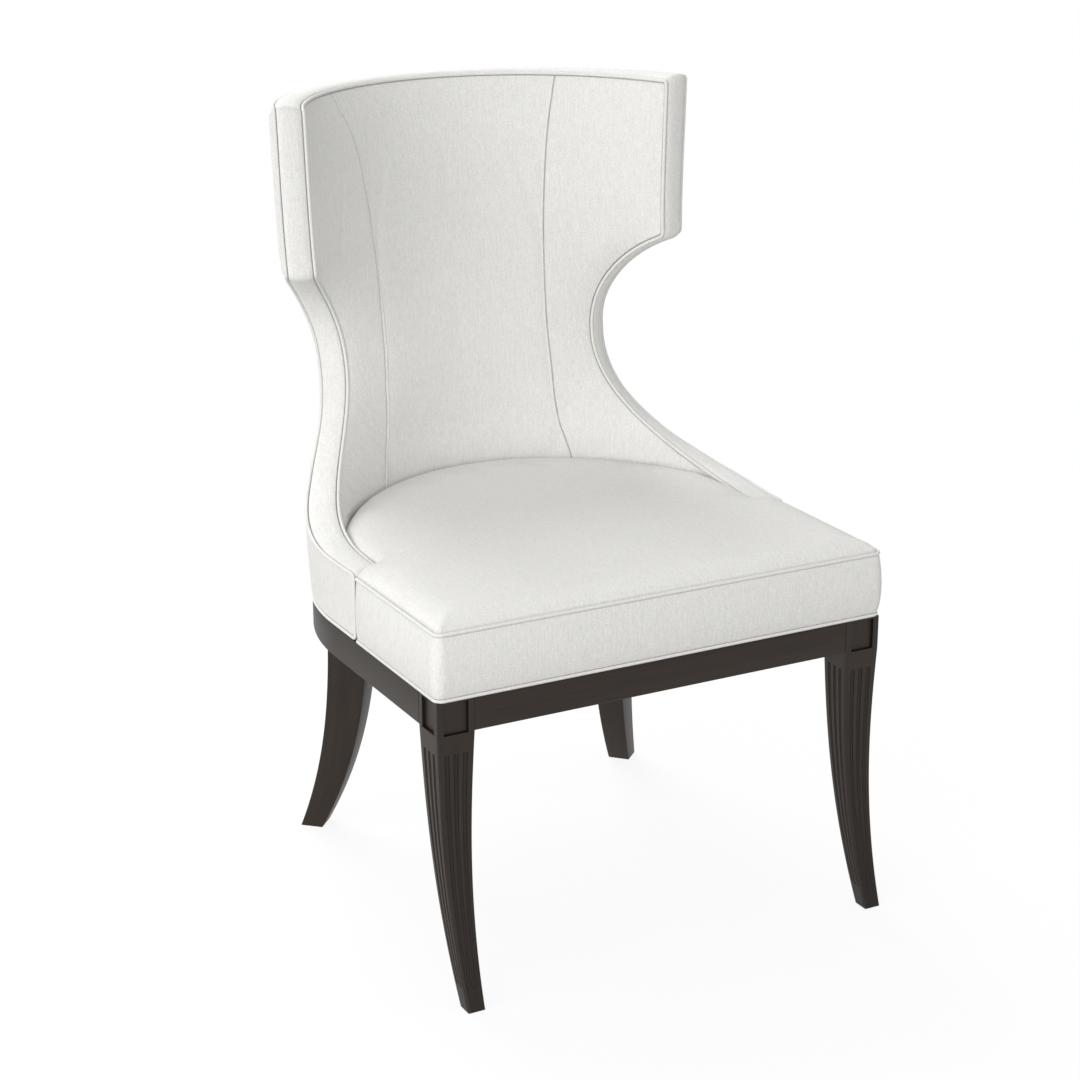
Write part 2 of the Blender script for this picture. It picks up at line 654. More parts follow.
def inside_rows(inset, low_z, extra):
    """Half lengths, heights and sideways normals of the rows of a face, inset from the outline."""
    half = np.minimum(ARC - NORMAL[:, 0] * inset, ARM_FRONT - inset)
    z = RISE - NORMAL[:, 1] * inset
    low = z[0] - EDGE_STEPS[8:0:-1] * 0.8
    below = np.concatenate([np.linspace(low_z, low[0] - 1.5, extra), low])
    top = z[-1] - EDGE_STEPS[:0:-1]
    keep = z < top[0] - 1.0
    half_top = np.interp(top, z, half)
    side = np.abs(NORMAL[:, 0])
    return (np.concatenate([np.full(len(below), half[0]), half[keep], half_top, half[-1:]]),
            np.concatenate([below, z[keep], top, z[-1:]]),
            np.concatenate([np.ones(len(below)), side[keep], np.ones(len(top) + 1)]))


def across_panel(low, high, width, count):
    """Shares across a panel: close steps beside both edges and even ones between."""
    near = EDGE_STEPS[None, :] / width[:, None]
    inner = np.linspace(0, 1, count)[None, 1:-1]
    middle = near[:, -1:] + (1 - 2 * near[:, -1:]) * inner
    t = np.concatenate([near, middle, 1 - near[:, ::-1]], 1)
    return low[:, None] + (high - low)[:, None] * t


def face_of(share, half, z):
    """Half lengths and heights over the grid of a face of the back, and the function that gives
    the grid's points at any depth."""
    half, z = half[:, None] + 0 * share, z[:, None] + 0 * share
    return half, z, lambda depth: layer_point(share * half, share, depth, z)


def inside_panel(name, side):
    """Panel of the inside back: the inside depth, swelled by its padding, with the seam's relief
    beside its seams and a quarter round down beside the cord. side is -1, 0 or 1."""
    half, z, _ = inside_rows(SEWN, low_z=452.0, extra=10)
    seam = seam_share(z, half)
    one = np.ones_like(z)
    low, high = {0: (-seam, seam), 1: (seam, one), -1: (-one, -seam)}[side]
    share = across_panel(low, high, (high - low) * (half - BAND_TURN), 56 if side == 0 else 34)
    hh, zz, at = face_of(share, half, z)
    border = np.concatenate([pairs(half, z)[::2], [[half[-1], z[-1]], [0.0, z[-1]]]])
    to_edge = near_line(pairs(np.abs(share) * hh, zz), border)
    rim = blend(1, rolled(to_edge, WING_RIM), step(*WING_START, zz))
    depth = BAND_DEPTH + (inside_depth(share, hh, zz) - BAND_DEPTH) * rim
    depth = depth + EDGE_SWELL * rolled(to_edge, EDGE_SWELL_WIDTH) * step(*EDGE_SWELL_START, zz)
    place = at(depth)
    towards = (-side, -0.3 if side else -1, 0)
    swelled = filled_out(place, towards, BACK_PRESS)
    away = (np.abs(share) - seam[:, None]) * (hh - BAND_TURN)
    outermost = (np.abs(share) > 1 - 1e-9) | (zz > BACK_TOP_Z - SEWN - 1e-6)
    to_edge = np.where(outermost, 0, to_edge)
    drop = seam_relief(away) - tucked(to_edge)
    outer = swelled + (at(depth + 1.0) - place) * drop[..., None]
    fold = np.maximum(seam_shade(away), bell(to_edge, CORD_SHADE))
    above_seat = np.maximum(zz - JOINT_SHADE_Z, 0)
    fold = np.maximum(fold, JOINT_SHADE * bell(above_seat, JOINT_SHADE_WIDTH))
    flat = np.stack([share * (hh - BAND_TURN) * 0.9, zz], -1)
    return cloth_body(name, outer, at(depth - CLOTH_DEPTH), flat, CLOTH, fold)


def outside_back():
    """Cover of the outside back: the outside face from the foot cord to the outline, with a
    quarter round down beside every cord."""
    half, z, sideways = inside_rows(SEWN, low_z=COVER_FOOT + 11.0, extra=18)
    foot = COVER_FOOT + SEWN + EDGE_STEPS[:-1]
    z = np.concatenate([foot, z])
    half = np.concatenate([np.full(len(foot), half[0]), half])
    sideways = np.concatenate([np.ones(len(foot)), sideways])
    one = np.ones_like(z)
    share = across_panel(-one, one, 2 * half, 128)
    hh, zz, at = face_of(share, half, z)
    to_side = (1 - np.abs(share)) * hh * sideways[:, None]
    to_edge = np.minimum(to_side, np.minimum(BACK_TOP_Z - SEWN - zz, zz - COVER_FOOT - SEWN))
    to_edge = np.where(to_edge < 1e-6, 0, to_edge)
    depth = tucked(to_edge) + COVER_DEPTH
    swollen = np.interp(zz, *COVER_BULGE) * step(0.3, 0.7, np.abs(share)) * rolled(to_edge, 9.0)
    outer = at(depth) + (at(depth - 1.0) - at(depth)) * swollen[..., None]
    inner = at(np.maximum(depth + 1.0, COVER_BACK))
    return cloth_body("outside_back_linen", outer, inner, np.stack([share * hh, zz], -1), CLOTH,
                      bell(to_edge, CORD_SHADE))


def bent_shell():
    """Bent plywood under the cloth, between two depths and a little inside the outline."""
    half, z, _ = inside_rows(SHELL_INSET, low_z=RAIL_TOP + GAP, extra=14)
    share = np.repeat([np.linspace(-1, 1, 97)], len(z), 0)
    hh, zz, at = face_of(share, half, z)
    return cloth_body("bent_shell_ply", *map(at, SHELL_FACES), pairs(share * hh, zz), PLY)


def whole_outline(line, normal):
    """The outline from one arm over the top to the other, from its half: length around, height,
    share and normal."""
    top, one = np.linspace(1, -1, 150)[1:-1], np.ones(len(line))
    over = pairs(top * line[-1, 0], BACK_TOP_Z)
    line = np.concatenate([line, over, line[::-1] * [-1, 1]])
    normal = np.concatenate([normal, over * 0 + [0, 1], normal[::-1] * [-1, 1]])
    return line[:, 0], line[:, 1], np.concatenate([one, top, -one]), normal


def up_the_arm(face, radius, down, count):
    """Half outline that starts below the arm: up its front at a length around, round its top
    corner in steps, and on along the outline. Gives lengths and heights, and normals."""
    bend = circle(np.linspace(0, math.pi / 2, count)[1:-1])
    keep = ARC < face - radius
    line = np.concatenate([pairs(face, down), [face - radius, ARM_TOP_Z - radius] + radius * bend,
                           pairs(ARC, RISE)[keep]])
    return line, np.concatenate([np.repeat([[1.0, 0.0]], len(down), 0), bend, NORMAL[keep]])


BAND_FACE, BAND_ARM_ROUND, BAND_FOOT_Z = ARM_FRONT - 3.2, 4.0, 398.0
BAND_CROWN, BAND_BASE = 5.2, -6.0
BAND_SEAM_TURN, BAND_SEAM = 1.22, 213


def edge_band():
    """Strip that closes the edge of the back and the front of the arms: a soft crown between the
    two cords, with a quarter round down beside each of them, and a seam near each end."""
    down = np.linspace(BAND_FOOT_Z, ARM_TOP_Z - BAND_ARM_ROUND, 24)
    line, normal = up_the_arm(BAND_FACE, BAND_ARM_ROUND, down, 7)
    arc, z, share, normal = whole_outline(line, normal)
    near = EDGE_STEPS[:8]
    far = BAND_DEPTH - SEWN
    depth = np.concatenate([SEWN + near, np.linspace(SEWN + 5.5, far - 5.5, 9), far - near[::-1]])
    beside = np.minimum(depth - SEWN, far - depth)
    crown = BAND_CROWN * (1 - np.abs(2 * depth / BAND_DEPTH - 1) ** 3.2)
    out = np.concatenate([crown + 0.4 - tucked(beside), [BAND_BASE, BAND_BASE]])
    by_cord = bell(beside, CORD_SHADE) * np.where(depth < BAND_DEPTH / 2, 0.6, 1.0)
    depth = np.concatenate([depth, [far, SEWN]])
    seam = np.abs(share) * (HALF_WIDTH * BAND_SEAM_TURN) - BAND_SEAM
    cross = np.where(np.abs(share) < 1, 1.0, 0.0)
    rise = out[None, :] + (seam_relief(seam) * cross * 0.5)[:, None] * (out > -4)[None, :]
    rings = layer_point(arc[:, None] + normal[:, :1] * rise, share[:, None], depth + 0 * rise,
                        z[:, None] + normal[:, 1:] * rise)
    side = np.concatenate([depth, depth[:1]])
    flat = pairs(side, run_along(rings[:, 12])[:, None])
    fold = np.maximum(np.concatenate([by_cord, [0, 0]]), (seam_shade(seam) * cross)[:, None])
    return bar_of("edge_band_linen", rings, flat, CLOTH, fold)


def inner_cord_of_edge():
    """Cord between the strip and the inside back, along the outline."""
    arc, z, share, normal = whole_outline(pairs(ARC, RISE), NORMAL)
    depth, out = BAND_DEPTH + 0.3, 0.5 * normal
    path = layer_point(arc + out[:, 0], share, depth, z + out[:, 1])
    inward = layer_point(arc, share, depth + 1.0, z) - layer_point(arc, share, depth, z)
    return cord("edge_cord_inner", path, inward)


def cord_of_cover(name, arc, share, z):
    """Cord at the edge of the outside cover."""
    path = layer_point(arc, share, -0.2, z)
    return cord(name, path, layer_point(arc, share, 0.8, z) - path)


def outer_cord_of_edge():
    """Cord between the strip and the outside cover: along the outline, down both side seams, and
    round into the cord at the foot."""
    arm, foot = 7.0, 5.0
    down = np.linspace(COVER_FOOT + foot, ARM_TOP_Z - arm, 40)
    line, _ = up_the_arm(ARM_FRONT, arm, down, 9)
    turn = circle(np.linspace(-math.pi / 2, 0, 9)[:-1])
    line = np.concatenate([[[ARM_FRONT - foot - 6, COVER_FOOT]],
                           [ARM_FRONT - foot, COVER_FOOT + foot] + foot * turn, line])
    arc, z, share, _ = whole_outline(line, 0 * line)
    return cord_of_cover("edge_cord_outer", arc, share, z)


def foot_cord_of_back():
    """Cord along the foot of the outside back, just above the rail."""
    arc = np.linspace(ARM_FRONT - 5, 5 - ARM_FRONT, 220)
    return cord_of_cover("back_foot_cord", arc, arc / ARM_FRONT, COVER_FOOT + 0 * arc)


# Seat

TOP_INSET = CORD_INSET + SEWN
# Rows of the seat's side that end at the cord: its corner, its side and most of the notch
CORD_ROWS = 16 + 32 + 5
SEAT_STEPS = np.array([0, 0.15, 0.45, 0.95, 1.7, 2.8, 4.2, 6.0, 8.2, 11.0, 15.0, 21.0])
SLIT_ROUND = np.array([5.0, 9.0])
SEAT_FILLING, SEAT_FOLD, SEAT_FOLD_START = 16.0, 2.6, 279
BORDER_FOOT, BORDER_SWELL = RAIL_TOP + 2.0, 5.2


def seat_crown(x, y):
    """Crown of the seat above its rolled edge: it rises from the front over 260 mm, falls a
    little towards the back, and falls to the sides by a power of the width."""
    from_front = y - PLAN_Y + SEAT_FRONT
    ahead = np.clip(from_front / CROWN_LENGTH, 0, 1)
    length = SEAT_FRONT + HALF_WIDTH - BAND_DEPTH - PADDING_CROWN
    fall = blend(1, 0.84, np.clip(from_front / length, 0, 1) ** 2)
    return SEAT_CROWN * (1 - (1 - ahead) ** 2.4) * fall * (1 - np.abs(x / HALF_WIDTH) ** 2.6)


def joint_place(arc):
    """Plan place just clear of the inside back and its cord at seat height."""
    half = ARM_FRONT - SEWN
    share = arc / half
    z = ARM_TOP_Z + 0 * share
    depth = np.maximum(inside_depth(share, half, z), BAND_DEPTH + CORD)
    return layer_point(arc, share, depth + 1.0, z)[..., :2]


def seat_side():
    """Right edge of the seat's top: round the front corner, along the side, round the notch, in
    along the slit, and around the barrel."""
    x, front, r = HALF_WIDTH - TOP_INSET, -SEAT_FRONT + TOP_INSET, SEAT_CORNER - TOP_INSET
    bend = -math.pi / 4 * (1 - np.linspace(0, 1, 16) ** 1.4)
    corner = [x - r, front + r] + r * circle(bend)
    low = -ARM_LENGTH + 1.0 - SLIT_ROUND[1]
    side = pairs(x, np.linspace(front + r, low, 33)[1:])
    notch = [x - SLIT_ROUND[0], low] + SLIT_ROUND * circle(np.linspace(0, math.pi / 2, 9)[1:])
    along_barrel = 1 - (1 - np.linspace(0, 1, 74)) ** 1.6
    barrel = joint_place(blend(ARM_FRONT - BARREL_END, BARREL_ARC, along_barrel)) - [0, PLAN_Y]
    slit = blend(notch[-1], barrel[0], np.linspace(0, 1, 12)[1:-1, None])
    return np.concatenate([corner, side, notch, slit, barrel]) + [0, PLAN_Y]


def seat_plan():
    """Plan grid of the seat's top, blended between its front line, its back round and its sides,
    with close columns beside the edges."""
    side = seat_side()
    run = run_along(side)
    v = (run / run[-1])[:, None]
    near = SEAT_STEPS / HALF_WIDTH
    inner = np.linspace(-1 + near[-1], 1 - near[-1], 56)[1:-1]
    share = np.concatenate([near - 1, inner, 1 - near[::-1]])
    corner, last = side[0], side[-1]
    front_y = -SEAT_FRONT + TOP_INSET + PLAN_Y
    edge = HALF_WIDTH - SEAT_CORNER
    rounded = np.clip((np.abs(share) * corner[0] - edge) / (corner[0] - edge), 0, 1)
    front_line = front_y + (corner[1] - front_y) * rounded ** 2
    back = joint_place(share * BARREL_ARC)
    off = side - blend(corner, last, v)
    x = blend(corner[0] * share, back[:, 0], v) + share * off[:, :1]
    y = blend(front_line, back[:, 1], v) + off[:, 1:]
    return np.stack([x, y], -1)


def seat_cushion_form():
    """Top of the seat cushion: the crown, swelled by its filling, less a quarter round down to
    every edge, and a soft crease that runs in from each notch."""
    plan = seat_plan()
    n = CORD_ROWS
    by_cord = np.concatenate([plan[:n, 0][::-1], plan[0], plan[:n, -1]])
    by_back = np.concatenate([plan[n - 1:, 0], plan[-1], plan[n - 1:, -1][::-1]])
    to_cord, to_joint = near_line(plan, by_cord), near_line(plan, by_back)
    to_cord[0], to_cord[:n, 0], to_cord[:n, -1] = 0, 0, 0
    to_joint[-1], to_joint[n - 1:, 0], to_joint[n - 1:, -1] = 0, 0, 0
    near = np.minimum(to_cord, to_joint)
    x, y = plan[..., 0], plan[..., 1]
    top = SEAT_WELT_Z + SEAT_ROLL + seat_crown(x, y)
    down_cord = SEAT_ROLL * (1 - rolled(to_cord, SEAT_ROLL_WIDTH))
    down_joint = JOINT_ROLL * (1 - rolled(to_joint, JOINT_ROLL_WIDTH))
    low = top - (down_cord ** 4 + down_joint ** 4) ** 0.25
    form = filled_out(np.stack([x, y, low], -1), (0, 0, 1), SEAT_PRESS)
    side = np.abs(x)
    start = SEAT_FOLD_START
    crease_y = PLAN_Y - ARM_LENGTH + 2.0 + (start - side) * 0.32
    crease = bell(y - crease_y, 7.0) * step(216, start, side) * step(292, start, side)
    form[..., 2] -= SEAT_FOLD * crease * rolled(near, 12.0)
    fold = np.maximum(bell(near, 0.8), 0.3 * bell(to_joint, 26))
    return cloth_body("seat_top_linen", form, form - [0, 0, SEAT_FILLING], plan, CLOTH_SEAT, fold)


def seat_front_path(inset):
    """Path around the front of the seat from one notch to the other, turned in at both, with its
    outward normals and the length along it."""
    r, n, tail = SEAT_CORNER, NOTCH_CORNER, 14.0
    notch_x, front_y = HALF_WIDTH - n, -SEAT_FRONT + r + PLAN_Y
    notch = circle(np.linspace(math.pi / 2, 0, 9)[:-1])
    corner = circle(np.linspace(0, -math.pi / 2, 16)[1:])
    half = np.concatenate([
        pairs(np.linspace(notch_x - tail, notch_x, 8)[:-1], NOTCH_Y + n),
        [notch_x, NOTCH_Y] + n * notch,
        pairs(HALF_WIDTH, np.linspace(NOTCH_Y, front_y, 50)),
        [HALF_WIDTH - r, front_y] + r * corner,
        pairs(np.linspace(HALF_WIDTH - r, 0, 60)[1:], front_y - r)])
    normal = np.concatenate([np.repeat([[0.0, 1.0]], 7, 0), notch, np.repeat([[1.0, 0.0]], 50, 0),
                             corner, np.repeat([[0.0, -1.0]], 59, 0)])
    path, normal = (np.concatenate([v, v[:-1][::-1] * [-1, 1]]) for v in (half, normal))
    run = run_along(path)
    return path - normal * inset, normal, run - run[-1] / 2


def swept(line, across, out, z):
    """Rings along a level line: its points moved out across it, at heights."""
    flat = line[:, None] + across[:, None] * out[..., None]
    return np.concatenate([flat, np.broadcast_to(z[:, None], flat.shape[:2] + (1,))], -1)


def seat_border():
    """Boxing of the seat: swelled between the top cord and the foot cord, with a quarter round in
    beside both cords, and flatter where it turns in at the notches."""
    path, normal, run = seat_front_path(0.0)
    low, high = BORDER_FOOT + SEWN, SEAT_WELT_Z - SEWN + 0.3
    z = np.concatenate([low + EDGE_STEPS, np.linspace(low + 12, high - 12, 18),
                        high - EDGE_STEPS[::-1]])
    up = (z - low) / (high - low)
    beside = np.minimum(z - low, high - z)
    by_foot = np.where(up < 0.5, 0.35, 1.0)
    swell = BORDER_SWELL * np.sin(math.pi * up ** 0.8) ** 0.8
    from_notch = path[:, 1:] - NOTCH_Y
    turned = np.clip(np.abs(normal[:, 1:]) * (from_notch > 0), 0, 1)
    full = blend(1, 0.4, bell(np.minimum(from_notch, 0), 16.0))
    out = swell * full - tucked(beside) * by_foot - 1.0 * turned
    out = np.concatenate([out, np.full((len(path), 2), -9.0)], 1)
    z = np.concatenate([z, [high - 2, low + 2]])
    fold = np.concatenate([bell(beside, CORD_SHADE) * by_foot, [0, 0]])
    fold = np.maximum(fold, 0.45 * step(0.35, 0.9, turned))
    flat = pairs(run[:, None], np.concatenate([z, z[:1]]))
    return bar_of("seat_border_linen", swept(path, normal, out, z), flat, CLOTH, fold)


def seat_cord(name, inset, z, dive=0.0):
    """Cord around the front of the seat at one height, which dives at its two turned-in ends."""
    path, _, _ = seat_front_path(inset)
    over = path[:, 1] - NOTCH_Y
    inside = HALF_WIDTH - NOTCH_CORNER - np.abs(path[:, 0])
    drop = dive * (0.25 * step(0, NOTCH_CORNER, over) + 0.75 * step(0, 10, inside) * (over > 0))
    line = np.concatenate([path, (z - drop)[:, None]], 1)
    return cord(name, line, np.repeat([[0.0, 0.0, 1.0]], len(line), 0))


# Show wood

RAIL_HALF, FRONT_RAIL_HALF, RAIL_SETBACK = 13.0, 12.0, 1.0
RAIL_EASE, RAIL_SPLIT = 1.2, 0.03
BLOCK, BLOCK_EASE, LEG_FOOT, LEG_FOOT_Z = 50.0, 0.8, 22.6, 1.3
LEG_SWEEP, LEG_SWEEP_POWER = 63, 2.6
FLUTE_TOP, FLUTE_FOOT = 322.0, 28.0
FLUTE_PITCH, FLUTE_HALF, FLUTE_DEPTH = 12.8, 3.3, 2.4
PANEL_HALF, PANEL_TOP, PANEL_DEPTH, PANEL_WALL = 16.4, 388.0, 4.0, 0.5
WALL_STEPS = np.array([0, 0.12, 0.25, 0.38, PANEL_WALL])
BESIDE_WALL = PANEL_WALL + np.array([0.4, 0.9, 1.6])
REAR_INSET, REAR_PLACE, REAR_TURN = 34, math.radians(46.3), math.radians(47)
REAR_WIDE, REAR_DEEP, REAR_FOOT, REAR_EASE = 46.5, 56.5, 31.5, 1.6
SHARP_EDGE = math.radians(38)


def eased_box(half_x, half_y, ease):
    """Corners of a rectangle with eased corners, counter-clockwise."""
    quarter = circle(np.linspace(0, math.pi / 2, 4)) * ease
    spots = []
    for k, (sx, sy) in enumerate(((1, 1), (-1, 1), (-1, -1), (1, -1))):
        a = k * math.pi / 2
        spin = np.array([[math.cos(a), math.sin(a)], [-math.sin(a), math.cos(a)]])
        spots.append(quarter @ spin + [sx * (half_x - ease), sy * (half_y - ease)])
    return np.concatenate(spots)


def wood_bar(name, rings, glaze=0.0):
    """Closed wooden body through rings, with the grain running along it."""
    around = run_along(np.concatenate([rings[0], rings[0][:1]]))
    flat = pairs(around, run_along(rings.mean(1))[:, None])
    return bar_of(name, rings, flat, WOOD, glaze, SHARP_EDGE)


def rail_along(name, line, across, half_thick):
    """Rail of one section swept along a level line: across points out of the frame."""
    section = eased_box(half_thick, RAIL_HEIGHT / 2, RAIL_EASE)
    z = (RAIL_TOP + RAIL_FOOT) / 2 + section[:, 1]
    return wood_bar(name, swept(line, across, section[None, :, 0], z))


def front_rail():
    end = HALF_WIDTH - BLOCK - GAP
    line = pairs(np.linspace(-end, end, 40), -SEAT_FRONT + RAIL_SETBACK + FRONT_RAIL_HALF + PLAN_Y)
    return rail_along("front_rail_wood", line, np.repeat([[0.0, -1.0]], 40, 0), FRONT_RAIL_HALF)


def side_rail(name, side):
    y = np.linspace(BLOCK + GAP - SEAT_FRONT, -RAIL_SPLIT, 30) + PLAN_Y
    line = pairs(side * (HALF_WIDTH - RAIL_HALF), y)
    return rail_along(name, line, np.repeat([[float(side), 0.0]], 30, 0), RAIL_HALF)


def rear_rail():
    across = circle(np.linspace(0, math.pi, 140))
    line = (HALF_WIDTH - RAIL_HALF) * across + [0, PLAN_Y + RAIL_SPLIT]
    return rail_along("rear_rail_wood", line, across, RAIL_HALF)


def flute_depth(s, taper, z):
    """Depth of the three rounded grooves at a place across the face, scaled with the leg."""
    inside = np.minimum(z - FLUTE_FOOT, FLUTE_TOP - z)
    depth = 0 * s
    for k in (-1, 0, 1):
        off = (s - k * FLUTE_PITCH * taper) / (FLUTE_HALF * taper)
        lift = np.clip(1 - np.clip(inside, 0, None) / (FLUTE_HALF * taper), 0, 1)
        round_end = np.sqrt(np.maximum(1 - lift ** 2, 0)) * (inside > 0)
        depth = np.maximum(depth, round_end * np.sqrt(np.maximum(1 - off ** 2, 0)) ** 0.8)
    return FLUTE_DEPTH * taper * depth


def panel_depth(s, z):
    """Sunk square panel of the block, with steep walls."""
    wide = step(0, PANEL_WALL, PANEL_HALF - np.abs(s))
    tall = step(0, PANEL_WALL, z - RAIL_FOOT) * step(0, PANEL_WALL, PANEL_TOP - z)
    return PANEL_DEPTH * wide * tall


def panel_glaze(s, z):
    """Dark glaze left in the corners of the sunk panel, strongest against its walls."""
    wall = np.minimum(PANEL_HALF - np.abs(s), np.minimum(z - RAIL_FOOT, PANEL_TOP - z))
    return bell(np.maximum(wall - PANEL_WALL, 0), 0.8) * (wall > 0)


def leg_levels():
    """Heights of the front leg's rings, close together at the groove ends and the panel's walls."""
    low, high = FLUTE_FOOT + 2.5, FLUTE_TOP - 4
    return np.unique(np.concatenate([
        np.linspace(LEG_FOOT_Z, FLUTE_FOOT, 10), np.linspace(FLUTE_FOOT, low, 9),
        np.linspace(low, high, 66), np.linspace(high, FLUTE_TOP, 12),
        np.linspace(FLUTE_TOP, RAIL_FOOT, 8), RAIL_FOOT + WALL_STEPS, RAIL_FOOT + BESIDE_WALL,
        np.linspace(RAIL_FOOT + 3, PANEL_TOP - 2, 8), PANEL_TOP - WALL_STEPS,
        [PANEL_TOP - 1.0, RAIL_TOP - GAP]]))


def leg_columns():
    """Places across a face of the block, close together in the grooves and at the panel's walls."""
    groove = np.sin(np.linspace(-1, 1, 15) * math.pi / 2) * FLUTE_HALF
    grooves = np.concatenate([groove + k for k in (-FLUTE_PITCH, 0, FLUTE_PITCH)])
    walls = PANEL_HALF - np.concatenate([WALL_STEPS, BESIDE_WALL])
    rim = BLOCK / 2 - np.array([0.3, 0.8, 1.4])
    return np.unique(np.concatenate([grooves, walls, -walls, np.linspace(-1, 1, 5) * PANEL_HALF,
                                     rim, -rim]))


def front_leg(name, side):
    """Front leg as rings of its four faces: tapered with the height, swept forward by a power of
    it, fluted on every face, sunk panels on the two outward faces, and eased corners."""
    level, column = leg_levels(), leg_columns()
    down = np.clip(1 - level / RAIL_FOOT, 0, 1)
    half = (blend(BLOCK, LEG_FOOT, down) / 2)[:, None]
    x = HALF_WIDTH - BLOCK / 2
    y = (BLOCK / 2 - SEAT_FRONT - LEG_SWEEP * down ** LEG_SWEEP_POWER + PLAN_Y)[:, None]
    taper = 2 * half / BLOCK
    spread, z = column[None, :] * taper, level[:, None]
    flutes = flute_depth(spread, taper, z)
    dark = np.clip(flutes / (FLUTE_DEPTH * taper), 0, 1) * 0.75
    dark = np.maximum(dark, 0.5 * (1 - step(16, 130, z)))
    ease = BLOCK_EASE * np.clip((np.abs(spread) - (half - 1.2)) / 1.2, 0, 1) ** 2
    faces, glazes = [], []
    for k in range(4):
        deep, glaze = flutes, dark
        if k in (0, 1):
            deep = np.maximum(deep, panel_depth(spread, z))
            glaze = np.maximum(glaze, panel_glaze(spread, z))
        out = -(half - deep - ease)
        a = k * math.pi / 2
        px = spread * math.cos(a) - out * math.sin(a)
        py = spread * math.sin(a) + out * math.cos(a)
        faces.append(np.stack([x + px, y + py, z + 0 * px], -1))
        glazes.append(glaze)
    return wood_bar(name, np.concatenate(faces, 1) * [side, 1, 1], np.concatenate(glazes, 1))


def rear_leg(name, side):
    """Rear leg: a section that grows upward with the square of the height, swept back and outward
    in one turned plane by a power of the height."""
    z = np.linspace(LEG_FOOT_Z, RAIL_FOOT - GAP, 70)
    down = np.clip(1 - z / RAIL_FOOT, 0, 1)
    sine, cosine = math.sin(REAR_TURN), math.cos(REAR_TURN)
    sweep = LEG_SWEEP * down ** LEG_SWEEP_POWER
    x = (HALF_WIDTH - REAR_INSET) * math.sin(REAR_PLACE) + sweep * sine
    y = (HALF_WIDTH - REAR_INSET) * math.cos(REAR_PLACE) + sweep * cosine + PLAN_Y
    wide, deep = (blend(top, REAR_FOOT, down ** 2) / 2 for top in (REAR_WIDE, REAR_DEEP))
    corner = np.stack([eased_box(a, b, REAR_EASE) for a, b in zip(wide, deep)])
    px = corner[..., 0] * cosine + corner[..., 1] * sine
    py = -corner[..., 0] * sine + corner[..., 1] * cosine
    rings = np.stack([x[:, None] + px, y[:, None] + py, z[:, None] + 0 * px], -1)
    return wood_bar(name, rings * [side, 1, 1])


# Dress the chair

def stand_in(made, slot, *nodes):
    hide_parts(*nodes)
    return made


left = stand_in(inside_panel("inside_back_linen_left", -1), "fabric", "inside_back_left")
middle = stand_in(inside_panel("inside_back_linen_middle", 0),
                  "fabric", "inside_back_centre", "back_foam")
right = stand_in(inside_panel("inside_back_linen_right", 1), "fabric", "inside_back_right")
stand_in(outside_back(), "fabric", "outside_back_cover")
stand_in(bent_shell(), "plywood", "back_shell")
stand_in(edge_band(), "fabric", "back_band")
stand_in(inner_cord_of_edge(), "fabric", "back_welt_inner")
stand_in(outer_cord_of_edge(), "fabric", "back_welt_outer")
stand_in(foot_cord_of_back(), "fabric", "back_welt_bottom")
seat_top = stand_in(seat_cushion_form(), "fabric", "seat_cover", "seat_foam")
stand_in(seat_border(), "fabric", "seat_border")
stand_in(seat_cord("seat_top_cord", CORD_INSET, SEAT_WELT_Z, dive=7.0), "fabric", "seat_welt_top")
stand_in(seat_cord("seat_foot_cord", 0.2, BORDER_FOOT), "fabric", "seat_welt_bottom")
stand_in(front_rail(), "show_wood", "front_rail")
stand_in(side_rail("side_rail_wood_right", 1), "show_wood", "side_rail_right")
stand_in(side_rail("side_rail_wood_left", -1), "show_wood", "side_rail_left")
stand_in(rear_rail(), "show_wood", "rear_rail")
for kind, make in (("front_leg", front_leg), ("rear_leg", rear_leg)):
    for end, side in (("right", 1), ("left", -1)):
        stand_in(make(f"{kind}_wood_{end}", side), "show_wood", f"{kind}_{end}")

NODE_LOOKS = {"beech": BEECH, "plywood": PLY, "steel": STEEL, "glide": NYLON, "webbing": STRAP,
              "dust_cloth": DUST, "show_wood": WOOD, "fabric": CLOTH, "foam": BEECH}
slots = {part["node"]: part["material_slot"] for part in frame["record"]["subparts"]}
for node, solid in frame["nodes"].items():
    solid.data.materials.clear()
    solid.data.materials.append(NODE_LOOKS[slots[node]])


# Floor, light and camera, in metres

FLOOR_HALF = 30
WHITE = (1, 1, 1, 1)
SKY_LIGHT = 0.567
LAMP_TARGET = (0, 0, 0.55)
LAMPS = (("key_left", (-3.6, -0.6, 1.9), 2.4, 48.5),
         ("key_front_left", (-3.0, -3.0, 2.2), 2.4, 61.5),
         ("front_right", (2.6, -3.2, 2.2), 2.4, 5.0),
         ("front_low", (-0.6, -3.8, 0.7), 1.2, 17.5),
         ("back_high", (0.0, 2.8, 2.8), 2.4, 98.0))
SENSOR, FOCAL_PIXELS, PHOTO_PIXELS = 36.0, 2523.4, 1080
CAMERA_PLACE, CAMERA_DOWN, CAMERA_TURN = (-1.5023, -2.79875, 1.5302), 18.85, -28.16


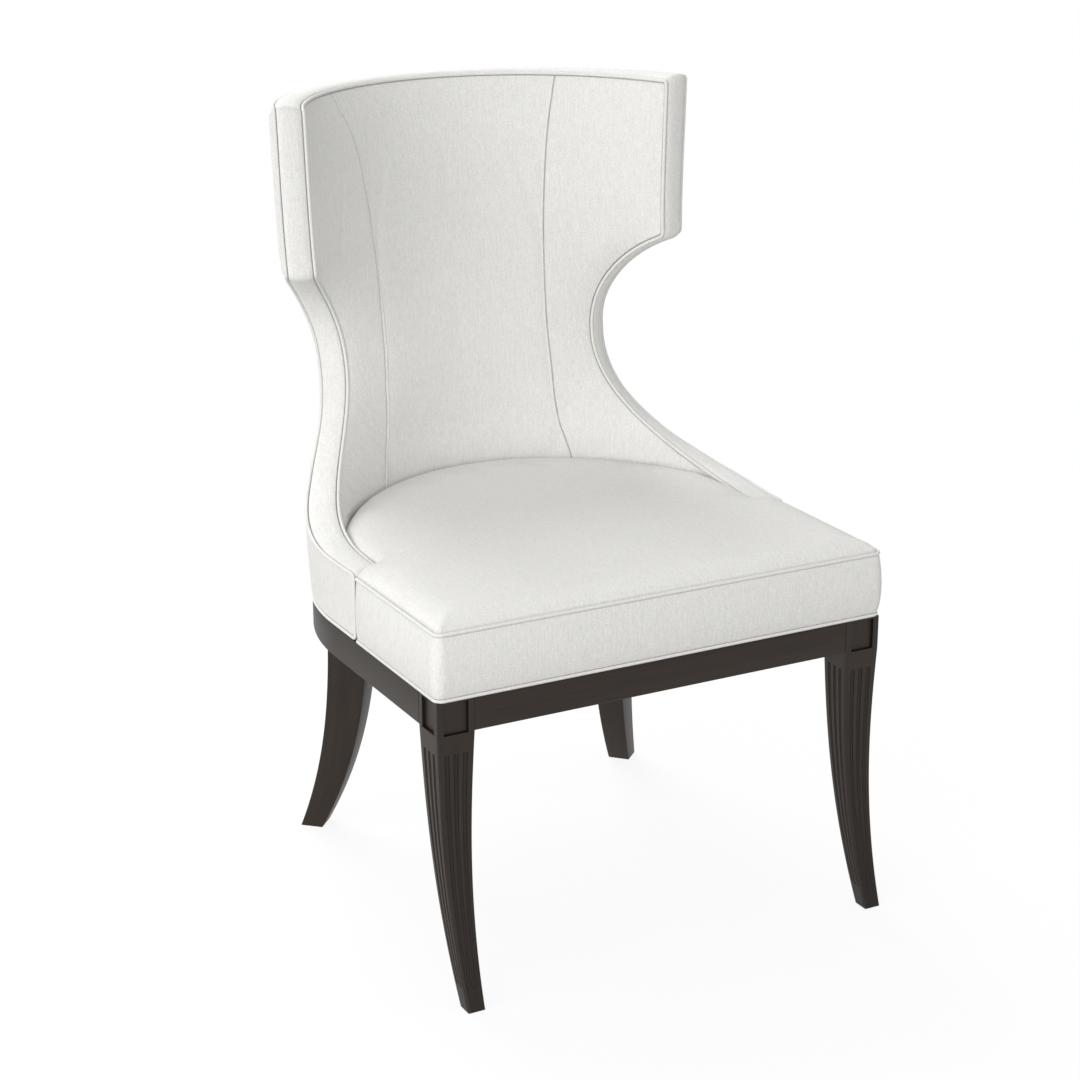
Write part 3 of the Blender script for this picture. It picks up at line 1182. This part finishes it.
def floor_look():
    """White floor that keeps a soft shadow near the chair. Camera, mirror and glass rays see
    white paint mixed with white light, of which there is more with the distance from the middle.
    All other rays see grey paint."""
    look, w, skin = new_look("studio_floor")
    glow = w.node("Emission", {"Color": WHITE, "Strength": 1.0})
    rays = w.node("LightPath").outputs
    seen = w.math("MAXIMUM", rays["Is Camera Ray"],
                  w.math("MAXIMUM", rays["Is Glossy Ray"], rays["Is Transmission Ray"]))
    w.fill(skin, {"Base Color": w.mix(seen, (0.5, 0.5, 0.5, 1), (0.96, 0.96, 0.96, 1)),
                  "Roughness": 1.0, "Specular IOR Level": 0.0})
    away = w.node("VectorMath", {0: w.solid_place()}, operation="LENGTH").outputs["Value"]
    share = w.times(seen, w.spread(away, 0.6, 1.5, 0.89, 1.0))
    both = w.node("MixShader", {0: share, 1: skin.outputs[0], 2: glow.outputs[0]})
    w.fill(look.node_tree.nodes["Material Output"], {"Surface": both.outputs[0]})
    return look


def floor():
    mesh = bpy.data.meshes.new("studio_floor")
    corners = [(x * FLOOR_HALF, y * FLOOR_HALF, 0) for x, y in ((-1, -1), (1, -1), (1, 1), (-1, 1))]
    mesh.from_pydata(corners, [], [(0, 1, 2, 3)])
    mesh.materials.append(floor_look())
    placed("studio_floor", mesh)


def soft_box(name, place, size, power):
    """Square area lamp at a place, facing the chair."""
    lamp = bpy.data.lights.new(name, "AREA")
    lamp.energy = power
    lamp.size = size
    made = placed(name, lamp)
    made.location = place
    x, y, z = np.array(LAMP_TARGET) - np.array(place)
    made.rotation_euler = (math.atan2(z, math.hypot(x, y)) + math.pi / 2, 0,
                           math.atan2(y, x) - math.pi / 2)


def sky():
    """Pale room light, seen as pure white."""
    world = bpy.data.worlds.new("studio")
    bpy.context.scene.world = world
    world.use_nodes = True
    w = Wiring(world.node_tree)
    direct = w.node("LightPath").outputs["Is Camera Ray"]
    w.fill(world.node_tree.nodes["Background"],
           {"Strength": w.spread(direct, 0.0, 1.0, SKY_LIGHT, 1.0), "Color": WHITE})


def camera():
    data = bpy.data.cameras.new("camera")
    data.sensor_width = SENSOR
    data.lens = SENSOR * FOCAL_PIXELS / PHOTO_PIXELS
    made = placed("camera", data)
    made.location = CAMERA_PLACE
    made.rotation_euler = (math.radians(90 - CAMERA_DOWN), 0, math.radians(CAMERA_TURN))
    bpy.context.scene.camera = made


floor()
sky()
camera()
for lamp in LAMPS:
    soft_box(*lamp)

bpy.context.scene.view_settings.view_transform = "Standard"
